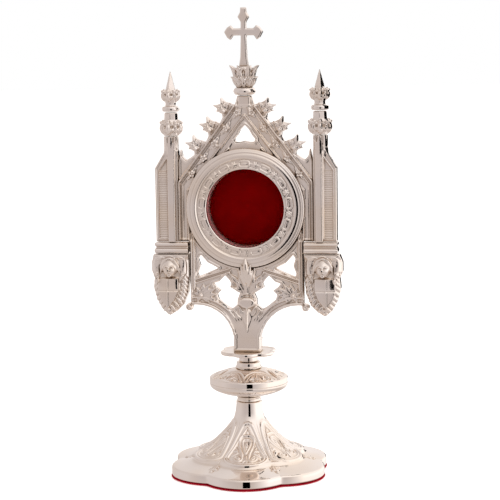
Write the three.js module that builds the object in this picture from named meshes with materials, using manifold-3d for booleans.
// Neo-Gothic standing monstrance in silver-plated brass: a six-lobed foot, a stem with a round knop, and a
// pierced architectural frame that holds a glazed round case with a hinged door at the back.
// Millimetres, +Z up, the front faces -Y, and the origin is on the table under the stem.
import * as THREE from "three";
import { mergeVertices } from "three/addons/utils/BufferGeometryUtils.js";
import Module from "manifold-3d";

const wasm = await Module();
wasm.setup();

// ---- Driving dimensions ----
const GAP = 0.3; // between pieces that touch
const LOBES = 6;
const FOOT_RADIUS = 44.6; // to the middle of a lobe
const FOOT_TURN = THREE.MathUtils.degToRad(3.3); // the foot is screwed on a little turned towards +X
const FOOT_CUSP_RADIUS = 39.3; // to the notch between two lobes
const FELT_THICKNESS = 0.9;
const FOOT_TOP = 39.1;
const SHELL = 1.2; // wall of the foot and of the knop
const KNOP_RADIUS = 21.4;
const KNOP_BOTTOM = 42.3;
const KNOP_TOP = 57.4;
const KNOP_SEAM = 49.8;
const COLLAR_TOP = 61;
const PLATE_BOTTOM = 65.3;
const PLATE_THICKNESS = 1.5;
const ROD_RADIUS = 2.4;
const ROD_HOLE = ROD_RADIUS + GAP + 0.05;
const ROD_BOTTOM = 31.3;
const ROD_TOP = 72;
const FRAME_BOTTOM = PLATE_BOTTOM + PLATE_THICKNESS + GAP;
const SLAB = 2.2; // half the frame's thickness
const WINDOW_Z = 145.2;
const WINDOW_RADIUS = 21; // clear opening of the bezel
const BEZEL_RADIUS = 32.2;
const GLASS_RADIUS = 22.5;
const GLASS_FRONT = -3.7;
const GLASS_BACK = -2.5;
const CASE_RADIUS = 24;
const CASE_WALL = 1.2;
const CASE_BACK = 7.5;
const FLANGE_RADIUS = 30;
const SCREW_CIRCLE = 27.2;
const DOOR_RADIUS = 24.8;
const HINGE_X = 28;
const HINGE_Y = 8.2;
const KNUCKLE_RADIUS = 1.7;
const PIN_RADIUS = 0.65;
const PIN_PLAY = 0.09; // radial, in the knuckles' bores
const GABLE_APEX = 207.7; // where the gable's outer edges would meet
const GABLE_SLOPE = 1.308; // rise over run of the gable
const EAVES_X = 37;
const CAPITAL_BOTTOM = 120.6;
const CAPITAL_TOP = 126.9;
const TOWER_OUTER = 49.4;
const PINNACLE_X = 40.5;
const PINNACLE_BASE = 184.5;
const PINNACLE_TOP = 219.3;
const TOTAL_HEIGHT = 252.3;

// ---- Materials ----
const metal = (color, roughness) => new THREE.MeshStandardMaterial({ color, roughness, metalness: 1 });
const cloth = (color) => new THREE.MeshStandardMaterial({ color, roughness: 0.95, metalness: 0 });
const silver = metal(0xe3d9cf, 0.22);
const castSilver = metal(0xd6ccc3, 0.32);
const steel = metal(0x9a9a9c, 0.4);
const felt = cloth(0x9c0a14);
const velvet = cloth(0x6a0003);
const glass = new THREE.MeshStandardMaterial({
  color: 0xf2f6f6,
  roughness: 0.02,
  metalness: 0,
  transparent: true,
  opacity: 0.25,
});

// ---- Helpers ----
function facingOut(geometry) {
  const p = geometry.attributes.position;
  const i = geometry.index.array;
  const [a, b, c] = [new THREE.Vector3(), new THREE.Vector3(), new THREE.Vector3()];
  let volume = 0;
  for (let t = 0; t < i.length; t += 3) {
    a.fromBufferAttribute(p, i[t]);
    b.fromBufferAttribute(p, i[t + 1]);
    c.fromBufferAttribute(p, i[t + 2]);
    volume += a.dot(b.cross(c));
  }
  if (volume < 0) for (let t = 0; t < i.length; t += 3) [i[t], i[t + 1]] = [i[t + 1], i[t]];
  return geometry;
}

// Welds a geometry's vertices so that it is one closed surface that faces out.
function closed(geometry) {
  const bare = new THREE.BufferGeometry().setAttribute("position", geometry.attributes.position.clone());
  if (geometry.index) bare.setIndex(geometry.index.clone());
  return facingOut(mergeVertices(bare, 1e-3));
}

function solid(geometry) {
  const g = closed(geometry);
  return new wasm.Manifold(
    new wasm.Mesh({
      numProp: 3,
      vertProperties: new Float32Array(g.attributes.position.array),
      triVerts: new Uint32Array(g.index.array),
    }),
  );
}

function geometryOf(manifold) {
  const mesh = manifold.getMesh();
  return new THREE.BufferGeometry()
    .setAttribute("position", new THREE.BufferAttribute(new Float32Array(mesh.vertProperties), 3))
    .setIndex(new THREE.BufferAttribute(new Uint32Array(mesh.triVerts), 1));
}

const join = (first, ...rest) => geometryOf(rest.reduce((sum, g) => sum.add(solid(g)), solid(first)));
const cut = (first, ...tools) => geometryOf(tools.reduce((left, g) => left.subtract(solid(g)), solid(first)));

const shapeOf = (points) => new THREE.Shape(points.map(([x, y]) => new THREE.Vector2(x, y)));

// A closed outline through points, rounded by a spline.
function softShape(points, steps) {
  const through = points.map(([x, y]) => new THREE.Vector3(x, y, 0));
  const curve = new THREE.CatmullRomCurve3(through, true, "catmullrom", 0.5);
  return shapeOf(curve.getPoints(steps).slice(0, -1).map((p) => [p.x, p.y]));
}

const mirrored = (points) => points.map(([x, z]) => [-x, z]);

// An outline drawn in X and Z, as thick as front to back says.
function frontExtrusion(shape, front, back, curveSegments = 10) {
  const g = new THREE.ExtrudeGeometry(shape, { depth: back - front, bevelEnabled: false, curveSegments });
  return g.rotateX(Math.PI / 2).translate(0, back, 0);
}

// An outline drawn in X and Y, standing from bottom to top.
function planExtrusion(shape, bottom, top, curveSegments = 10) {
  const g = new THREE.ExtrudeGeometry(shape, { depth: top - bottom, bevelEnabled: false, curveSegments });
  return g.translate(0, 0, bottom);
}

const profileOf = (points) => [...points, points[0]].map(([r, h]) => new THREE.Vector2(r, h));
const turnedOnStem = (points, sides = 30) =>
  new THREE.LatheGeometry(profileOf(points), sides).rotateX(Math.PI / 2);
const turnedOnWindow = (points, sides = 48) =>
  new THREE.LatheGeometry(profileOf(points), sides).translate(0, 0, WINDOW_Z);

function rodAlongZ(radius, bottom, top, sides = 24) {
  const g = new THREE.CylinderGeometry(radius, radius, top - bottom, sides);
  return g.rotateX(Math.PI / 2).translate(0, 0, (top + bottom) / 2);
}

function rodAlongY(radius, front, back, sides = 16) {
  return new THREE.CylinderGeometry(radius, radius, back - front, sides).translate(0, (front + back) / 2, 0);
}

function block(x0, x1, y0, y1, z0, z1) {
  const g = new THREE.BoxGeometry(x1 - x0, y1 - y0, z1 - z0);
  return g.translate((x0 + x1) / 2, (y0 + y1) / 2, (z0 + z1) / 2);
}

const monstrance = new THREE.Group();

function add(name, geometry, material) {
  const mesh = new THREE.Mesh(closed(geometry), material);
  mesh.name = name;
  monstrance.add(mesh);
  return mesh;
}

// The same casting on both sides: geometry is drawn on the right.
function addPair(name, geometry, material) {
  add("right_" + name, geometry, material);
  add("left_" + name, geometry, material).scale.x = -1;
}

// ---- Six-lobed outline ----
// Radius of a lobed outline at an angle, as a share of its largest: each lobe is one circular arc.
function lobeShare(angle, cuspShare) {
  const half = Math.PI / LOBES;
  const centre = (1 - cuspShare ** 2) / (2 * (1 - cuspShare * Math.cos(half)));
  const arc = 1 - centre;
  const turn = angle + Math.PI / 2 + half;
  const off = turn - 2 * half * Math.floor(turn / (2 * half)) - half;
  return centre * Math.cos(off) + Math.sqrt(arc ** 2 - (centre * Math.sin(off)) ** 2);
}

function lobedPoints(radius, cuspRadius, perLobe) {
  const steps = LOBES * perLobe;
  return Array.from({ length: steps }, (_, k) => {
    const angle = -Math.PI / 2 + (k * 2 * Math.PI) / steps;
    const r = radius * lobeShare(angle, cuspRadius / radius);
    return [r * Math.cos(angle), r * Math.sin(angle)];
  });
}

// ---- Foot and stem ----
function footShell() {
  const outside = [
    [FOOT_RADIUS, 1.2],
    [FOOT_RADIUS, 5.4],
    [43.6, 6],
    [36.5, 7.4],
    [32.2, 8.6],
    [30.6, 10.4],
    [26, 12.8],
    [20, 16.6],
    [14, 21.8],
    [9.6, 27.2],
    [7.8, 31.6],
    [7, FOOT_TOP],
  ];
  const inside = [
    [ROD_HOLE, FOOT_TOP],
    [ROD_HOLE, FOOT_TOP - 1.6],
    [5.7, FOOT_TOP - 1.6],
    [6.5, 31.4],
    [8.5, 26.6],
    [13, 20.8],
    [19.2, 15.5],
    [25.4, 11.6],
    [29.6, 9.3],
    [31.6, 7.4],
    [36.2, 6],
    [FOOT_RADIUS - SHELL, 4.6],
    [FOOT_RADIUS - SHELL, 1.2],
  ];
  const g = turnedOnStem([...outside, ...inside], LOBES * 7);
  const p = g.attributes.position;
  const share = FOOT_CUSP_RADIUS / FOOT_RADIUS;
  for (let k = 0; k < p.count; k++) {
    const r = Math.hypot(p.getX(k), p.getY(k));
    const angle = Math.atan2(p.getY(k), p.getX(k));
    const lobed = THREE.MathUtils.smoothstep(r, 8, 34);
    const scale = 1 - lobed * (1 - lobeShare(angle, share));
    p.setX(k, p.getX(k) * scale);
    p.setY(k, p.getY(k) * scale);
  }
  return g;
}

function basePlate() {
  const inset = SHELL + 2 * GAP;
  const outline = lobedPoints(FOOT_RADIUS - inset, FOOT_CUSP_RADIUS - inset, 6);
  return planExtrusion(shapeOf(outline), FELT_THICKNESS + GAP, 2.4);
}

function baseFelt() {
  const proud = 0.35;
  const outline = lobedPoints(FOOT_RADIUS + proud, FOOT_CUSP_RADIUS + proud, 8);
  return planExtrusion(shapeOf(outline), 0, FELT_THICKNESS);
}

function hexNut(acrossFlats, bottom, top) {
  const nut = rodAlongZ(acrossFlats / Math.sqrt(3), bottom, top, 6);
  return cut(nut, rodAlongZ(ROD_HOLE, bottom - 1, top + 1));
}

const ring = (outer, inner, bottom, top, sides = 24) =>
  turnedOnStem([[inner, bottom], [outer, bottom], [outer, top], [inner, top]], sides);

function lowerCollar() {
  const bottom = FOOT_TOP + GAP;
  const top = KNOP_BOTTOM - GAP;
  const waist = (bottom + top) / 2;
  return turnedOnStem([[ROD_HOLE, bottom], [6.6, bottom], [6.2, waist], [6.6, top], [ROD_HOLE, top]], 24);
}

function knopLower() {
  return turnedOnStem(
    [
      [ROD_HOLE, KNOP_BOTTOM],
      [6.4, KNOP_BOTTOM],
      [10.5, KNOP_BOTTOM + 0.8],
      [15.6, KNOP_BOTTOM + 2.2],
      [19.6, KNOP_BOTTOM + 3.9],
      [21.2, KNOP_BOTTOM + 5.6],
      [KNOP_RADIUS, KNOP_SEAM - GAP / 2],
      [KNOP_RADIUS - SHELL, KNOP_SEAM - GAP / 2],
      [20, KNOP_BOTTOM + 6.1],
      [15.3, KNOP_BOTTOM + 3.6],
      [10, KNOP_BOTTOM + 2.1],
      [6, KNOP_BOTTOM + 1.5],
      [ROD_HOLE, KNOP_BOTTOM + 1.5],
    ],
    36,
  );
}

function knopUpper() {
  return turnedOnStem(
    [
      [KNOP_RADIUS, KNOP_SEAM + GAP / 2],
      [21.4, 51.9],
      [20.6, 53],
      [17, 54.6],
      [10, 56.8],
      [7, KNOP_TOP],
      [ROD_HOLE, KNOP_TOP],
      [ROD_HOLE, 56],
      [7, 56],
      [10, 55.3],
      [16.6, 53.2],
      [19.6, 51.9],
      [KNOP_RADIUS - SHELL, KNOP_SEAM + GAP / 2],
    ],
    36,
  );
}

function upperCollar() {
  const bottom = KNOP_TOP + GAP;
  const side = [[7.2, bottom], [6.6, bottom + 0.8], [6.6, COLLAR_TOP]];
  return turnedOnStem([[ROD_HOLE, bottom], ...side, [ROD_HOLE, COLLAR_TOP]], 24);
}

function topPlate() {
  const outline = shapeOf(lobedPoints(15.6, 13.2, 8));
  const plate = planExtrusion(outline, PLATE_BOTTOM, PLATE_BOTTOM + PLATE_THICKNESS);
  return cut(plate, rodAlongZ(ROD_HOLE, PLATE_BOTTOM - 1, PLATE_BOTTOM + PLATE_THICKNESS + 1));
}

// ---- Frame ----
const onGable = (x) => GABLE_APEX - GABLE_SLOPE * x;

// One leaf crocket on the right slope, from its stalk up to its tips, moved by dx and dz.
const CROCKET = [
  [19.9, 184.2],
  [20.5, 188.2],
  [22.9, 187.9],
  [21.7, 189.1],
  [24.6, 190.5],
  [21, 191.4],
  [20.5, 194.6],
  [18.6, 192.8],
  [16.2, 191.7],
  [13.6, 191.1],
];
const CROCKET_STEP = [7.8, -10];

function frameOutline() {
  const crockets = [1, 0, -1].flatMap((step) =>
    CROCKET.map(([x, z]) => [x + step * CROCKET_STEP[0], z + step * CROCKET_STEP[1]]),
  );
  const brace = Array.from({ length: 9 }, (_, k) => {
    const angle = Math.PI - (k * Math.PI) / 16;
    return [28 + 20.9 * Math.cos(angle), 71.2 + 20.9 * Math.sin(angle)];
  });
  const right = [
    [7.1, FRAME_BOTTOM],
    ...brace,
    [31.2, 92.1],
    [31.2, CAPITAL_TOP + GAP],
    [EAVES_X, CAPITAL_TOP + GAP],
    [EAVES_X, 170],
    [35.9, 174],
    [35.2, 178],
    [34.2, 173.2],
    [32.4, 171.3],
    [30.2, 172.5],
    ...crockets,
    [5.4, onGable(5.4)],
    [3.8, 205.6],
  ];
  return shapeOf([...right, ...mirrored(right).reverse()]);
}

const GABLE_LIGHT = [
  [0, 190],
  [2.4, 187.4],
  [3.7, 184.8],
  [5.6, 182.4],
  [5, 180.9],
  [2.6, 180.9],
  [0, 181.6],
];
const UPPER_SPANDREL = [
  [25.4, 119.8],
  [26.6, 117.6],
  [25.4, 113.8],
  [27, 109.6],
  [26.6, 107.8],
  [22.2, 109.6],
  [15.7, 112.4],
  [21.6, 115.5],
];
const LOWER_LIGHT = [
  [12, 108.4],
  [9.9, 106],
  [8.8, 104.2],
  [9.4, 101.9],
  [4, 98.8],
  [5.4, 95.5],
  [5.6, 92.3],
  [8.5, 90.1],
  [11.2, 91.7],
  [15.6, 95.3],
  [16.4, 98],
  [14.2, 100.2],
  [16.8, 102],
  [18.5, 104],
  [15.2, 105.1],
];

// A straight moulding on the front of the frame, from one point to another in X and Z.
function moulding([x0, z0], [x1, z1], width, height) {
  const [dx, dz] = [x1 - x0, z1 - z0];
  const length = Math.hypot(dx, dz);
  const [nx, nz] = [(-dz / length) * width * 0.5, (dx / length) * width * 0.5];
  const strip = shapeOf([[x0 + nx, z0 + nz], [x0 - nx, z0 - nz], [x1 - nx, z1 - nz], [x1 + nx, z1 + nz]]);
  return frontExtrusion(strip, -height, -SLAB + 0.5);
}

function frameCasting() {
  const slab = frameOutline();
  slab.holes.push(shapeOf([...GABLE_LIGHT, ...mirrored(GABLE_LIGHT.slice(1)).reverse()]));
  for (const light of [UPPER_SPANDREL, LOWER_LIGHT]) {
    slab.holes.push(shapeOf(light), shapeOf(mirrored(light)));
  }
  const round = new THREE.Path().absarc(0, WINDOW_Z, CASE_RADIUS + GAP, 0, 2 * Math.PI);
  slab.holes.push(round);
  const halves = [1, -1].flatMap((side) => [
    moulding([side * 5.2, 199.2], [side * 36.2, 158.6], 1.8, 4.2),
    moulding([side * 6, 186.2], [side * 32.2, 155.6], 2, 3.8),
    moulding([side * 33.2, 155], [side * 33.2, CAPITAL_TOP + 0.5], 2.4, 3.8),
    moulding([side * 29.2, 119], [side * 29.2, 94], 2.2, 3.6),
    moulding([side * 9, 111.4], [side * 28.4, 105.2], 2, 3.4),
    frontExtrusion(shapeOf([[side * 20, 92], [side * 29, 93], [side * 28, 101], [side * 20, 103]]), -4, 0),
  ]);
  const boss = new THREE.SphereGeometry(4.6, 16, 10).translate(0, -1.5, 94.8);
  const leaves = shapeOf([[-2, 97], [2, 97], [7, 104], [3, 112], [0, 117], [-3, 112], [-7, 104]]);
  const spray = frontExtrusion(leaves, -4.2, 0);
  const vase = shapeOf([[-3.4, 78], [3.4, 78], [5.5, 86], [2.5, 92], [-2.5, 92], [-5.5, 86]]);
  const stalk = frontExtrusion(vase, -4.2, 0);
  const tenon = block(-7.4, 7.4, -4.4, 4.4, FRAME_BOTTOM, 75);
  const neck = block(-3.6, 3.6, -3, 3, 201, 205.6);
  const body = join(frontExtrusion(slab, -SLAB, SLAB, 32), ...halves, boss, spray, stalk, tenon, neck);
  const screwHoles = screwPlaces().map(([x, z]) => rodAlongY(1.35, -1, SLAB + 1).translate(x, 0, z));
  const rodSocket = rodAlongZ(ROD_HOLE, FRAME_BOTTOM - 1, ROD_TOP + GAP);
  const spigotSocket = rodAlongZ(1.55, 199.5, 207, 12);
  const bezelSeat = rodAlongY(BEZEL_RADIUS + GAP, -9, -SLAB, 48).translate(0, 0, WINDOW_Z);
  return cut(body, bezelSeat, ...screwHoles, rodSocket, spigotSocket);
}

// ---- Window: bezel, glass and case ----
function bezelRing() {
  return turnedOnWindow(
    [
      [WINDOW_RADIUS, -4.9],
      [21.5, -5.5],
      [26.6, -5],
      [27.2, -6.1],
      [29.1, -6.1],
      [30.4, -4.6],
      [BEZEL_RADIUS, -4.2],
      [BEZEL_RADIUS, GLASS_BACK],
      [GLASS_RADIUS + GAP, GLASS_BACK],
      [GLASS_RADIUS + GAP, GLASS_FRONT - GAP],
      [WINDOW_RADIUS, GLASS_FRONT - GAP],
    ],
    48,
  );
}

const glassLens = () => rodAlongY(GLASS_RADIUS, GLASS_FRONT, GLASS_BACK, 48).translate(0, 0, WINDOW_Z);

const windowRing = (inner, outer, front, back) =>
  turnedOnWindow([[inner, front], [outer, front], [outer, back], [inner, back]], 48);

function screwPlaces() {
  const step = SCREW_CIRCLE * Math.SQRT1_2;
  const [high, low] = [WINDOW_Z + step, WINDOW_Z - step];
  return [[step, high], [-step, high], [-step, low], [step, low]];
}

// One hinge knuckle about the hinge line, with the web that ties it to its leaf.
function knuckle(bottom, top, webX, webFront, webBack) {
  const barrel = rodAlongZ(KNUCKLE_RADIUS, bottom, top, 20).translate(HINGE_X, HINGE_Y, 0);
  return join(barrel, block(webX, HINGE_X, webFront, webBack, bottom, top));
}

const hingeBore = () =>
  rodAlongZ(PIN_RADIUS + PIN_PLAY, WINDOW_Z - 12, WINDOW_Z + 12, 20).translate(HINGE_X, HINGE_Y, 0);

function caseBody() {
  const tube = turnedOnWindow(
    [
      [CASE_RADIUS - CASE_WALL, -SLAB],
      [CASE_RADIUS, -SLAB],
      [CASE_RADIUS, SLAB + GAP],
      [FLANGE_RADIUS, SLAB + GAP],
      [FLANGE_RADIUS, SLAB + GAP + 1.1],
      [CASE_RADIUS, SLAB + GAP + 1.1],
      [CASE_RADIUS, CASE_BACK],
      [CASE_RADIUS - CASE_WALL, CASE_BACK],
    ],
    48,
  );
  const lugs = [3.3, -7].map((from) =>
    knuckle(WINDOW_Z + from, WINDOW_Z + from + 3.7, CASE_RADIUS - 0.8, HINGE_Y - 2.4, CASE_BACK - 0.1),
  );
  const holes = screwPlaces().map(([x, z]) => rodAlongY(1.35, 0, 6).translate(x, 0, z));
  return cut(join(tube, ...lugs), ...holes, hingeBore());
}

function caseScrew(x, z) {
  const head = SLAB + GAP + 1.1 + GAP;
  const slot = block(-2.5, 2.5, head + 0.8, head + 2, -0.25, 0.25);
  const screw = join(rodAlongY(1, -0.6, head + 0.5, 12), rodAlongY(2, head, head + 1.3, 16));
  return cut(screw, slot).translate(x, 0, z);
}

function rearDoor() {
  const disc = turnedOnWindow(
    [[0, 7.8], [DOOR_RADIUS, 7.8], [DOOR_RADIUS, 8.6], [22.6, 9.2], [21, 8.9], [16, 9.9], [0, 10.6]],
    48,
  );
  const hinge = knuckle(WINDOW_Z - 3, WINDOW_Z + 3, DOOR_RADIUS - 1.5, 7.8, 8.6);
  const thumbTab = block(-DOOR_RADIUS - 2.6, -DOOR_RADIUS + 1.2, 7.8, 8.6, WINDOW_Z - 3.5, WINDOW_Z + 3.5);
  return cut(join(disc, hinge, thumbTab), hingeBore());
}

const backPad = () => rodAlongY(WINDOW_RADIUS + 0.2, 5.5, 7.5, 48).translate(0, 0, WINDOW_Z);

function hingePin() {
  const low = WINDOW_Z - 7;
  const high = WINDOW_Z + 7;
  const heads = [[low - 1, low - GAP], [high + GAP, high + 1]].map(([a, b]) => rodAlongZ(1.2, a, b, 16));
  return join(rodAlongZ(PIN_RADIUS, low - 0.6, high + 0.6, 16), ...heads).translate(HINGE_X, HINGE_Y, 0);
}

// ---- Towers at both sides ----
function capital() {
  const rolls = [
    [-4.6, CAPITAL_BOTTOM],
    [-6.4, 121.4],
    [-6.4, 123],
    [-5.2, 124.1],
    [-6.2, 125],
    [-6.2, 126.3],
    [-5.4, CAPITAL_TOP],
    [4.6, CAPITAL_TOP],
    [4.6, CAPITAL_BOTTOM],
  ];
  const g = new THREE.ExtrudeGeometry(shapeOf(rolls), { depth: 50 - 31.5, bevelEnabled: false });
  return g.rotateX(Math.PI / 2).rotateZ(Math.PI / 2).translate(31.5, 0, 0);
}

function corbel() {
  const wings = [
    [31.6, 120.3],
    [50.8, 120.3],
    [52.4, 116],
    [52.4, 111],
    [50.8, 107.5],
    [51.3, 102],
    [49.8, 95.5],
    [46.6, 89.6],
    [42.7, 86.4],
    [38.6, 88.8],
    [35, 92.4],
    [32.4, 99],
    [31.6, 108],
  ];
  const shield = [
    [36.4, 107],
    [48.6, 107],
    [48.6, 99.5],
    [46.4, 93.8],
    [42.5, 89.6],
    [38.6, 93.8],
    [36.4, 99.5],
  ];
  const head = new THREE.SphereGeometry(4.4, 14, 10).translate(41.8, -5, 113);
  return join(frontExtrusion(shapeOf(wings), -4.6, 3.4), frontExtrusion(shapeOf(shield), -6.4, 0), head);
}

function buttress() {
  const bottom = CAPITAL_TOP + GAP;
  const inner = EAVES_X + GAP;
  const body = [[inner, bottom], [TOWER_OUTER, bottom], [TOWER_OUTER, 167], [44, 176], [inner, 176]];
  const panel = [[43.4, 129.5], [47.8, 129.5], [47.8, 166], [43.4, 171.5]];
  const shaft = rodAlongZ(4.1, 173.6, PINNACLE_BASE - GAP, 8);
  shaft.rotateZ(Math.PI / 8).translate(PINNACLE_X, 0, 0);
  return cut(
    join(
      frontExtrusion(shapeOf(body), -3.4, 3.8),
      block(38.1, 41.9, -6.2, 0, bottom, 174),
      shaft,
    ),
    frontExtrusion(shapeOf(panel), -5, -2.8),
  );
}

function pinnacle() {
  const shape = [
    [0, PINNACLE_BASE],
    [4.1, PINNACLE_BASE],
    [6, 186],
    [6.7, 189.6],
    [5.6, 193],
    [3.3, 194],
    [3.3, 197.2],
    [4.4, 197.7],
    [4.4, 200.3],
    [2.8, 200.8],
    [2.8, 203],
    [5.2, 205],
    [5.7, 207.6],
    [4.3, 210],
    [2.3, 210.4],
    [0, PINNACLE_TOP],
  ];
  return turnedOnStem(shape, 8).rotateZ(Math.PI / 8).translate(PINNACLE_X, 0, 0);
}

// ---- Finial ----
const finialRing = () =>
  turnedOnStem([[1.6, 206], [4.6, 206], [5.8, 207], [5.9, 208.6], [4.6, 210], [1.6, 210]], 16);

function finialBud() {
  const bud = turnedOnStem(
    [
      [0, 210.3],
      [3.5, 210.3],
      [4.2, 213.6],
      [6.9, 216.2],
      [4.8, 217.6],
      [8.2, 221.6],
      [3.6, 220.9],
      [0, 220.9],
    ],
    12,
  );
  return cut(join(bud, rodAlongZ(1.25, 200, 211, 12)), rodAlongZ(1.35, 215.5, 222, 12));
}

function cross() {
  const right = [
    [2.6, 221.2],
    [1.8, 226],
    [1.4, 237.7],
    [5.6, 237.7],
    [7.2, 235.4],
    [8.8, 236.6],
    [10.4, 239.5],
    [8.8, 241.8],
    [6.9, 242.9],
    [5.6, 241.3],
    [1.4, 241.3],
    [1.4, 244.8],
    [3, 247.4],
    [1.7, 249.8],
    [1.5, TOTAL_HEIGHT],
  ];
  const plate = frontExtrusion(shapeOf([...right, ...mirrored(right).reverse()]), -1.5, 1.5);
  return join(plate, rodAlongZ(1, 216, 223, 12));
}

// ---- Assembly ----
add("base_felt", baseFelt().rotateZ(FOOT_TURN), felt);
add("base_plate", basePlate().rotateZ(FOOT_TURN), steel);
add("foot", footShell().rotateZ(FOOT_TURN), silver);
add("tie_rod", rodAlongZ(ROD_RADIUS, ROD_BOTTOM, ROD_TOP), steel);
add("rod_washer", ring(5, ROD_HOLE, FOOT_TOP - 3, FOOT_TOP - 1.9), steel);
add("rod_nut", hexNut(8, FOOT_TOP - 6.6, FOOT_TOP - 3.3), steel);
add("lower_collar", lowerCollar(), silver);
add("knop_lower", knopLower(), silver);
add("knop_upper", knopUpper(), silver);
add("upper_collar", upperCollar(), silver);
add("neck_sleeve", ring(5.2, ROD_HOLE, COLLAR_TOP + GAP, PLATE_BOTTOM - GAP), silver);
add("top_plate", topPlate(), silver);
add("frame", frameCasting(), castSilver);
add("bezel_ring", bezelRing(), castSilver);
add("glass_lens", glassLens(), glass);
add("lens_ring", windowRing(21.5, CASE_RADIUS - CASE_WALL - GAP, -SLAB, -SLAB + 1), castSilver);
add("case_body", caseBody(), silver);
add("side_lining", windowRing(21.7, CASE_RADIUS - CASE_WALL - GAP, -SLAB + 1 + GAP, CASE_BACK - GAP), velvet);
screwPlaces().forEach(([x, z], k) => add("case_screw_" + (k + 1), caseScrew(x, z), steel));
add("rear_door", rearDoor(), silver);
add("back_pad", backPad(), velvet);
add("hinge_pin", hingePin(), steel);
addPair("capital", capital(), castSilver);
addPair("corbel", corbel(), castSilver);
addPair("buttress", buttress(), castSilver);
addPair("pinnacle", pinnacle(), castSilver);
add("finial_ring", finialRing(), castSilver);
add("finial_bud", finialBud(), castSilver);
add("cross", cross(), castSilver);

export default monstrance;
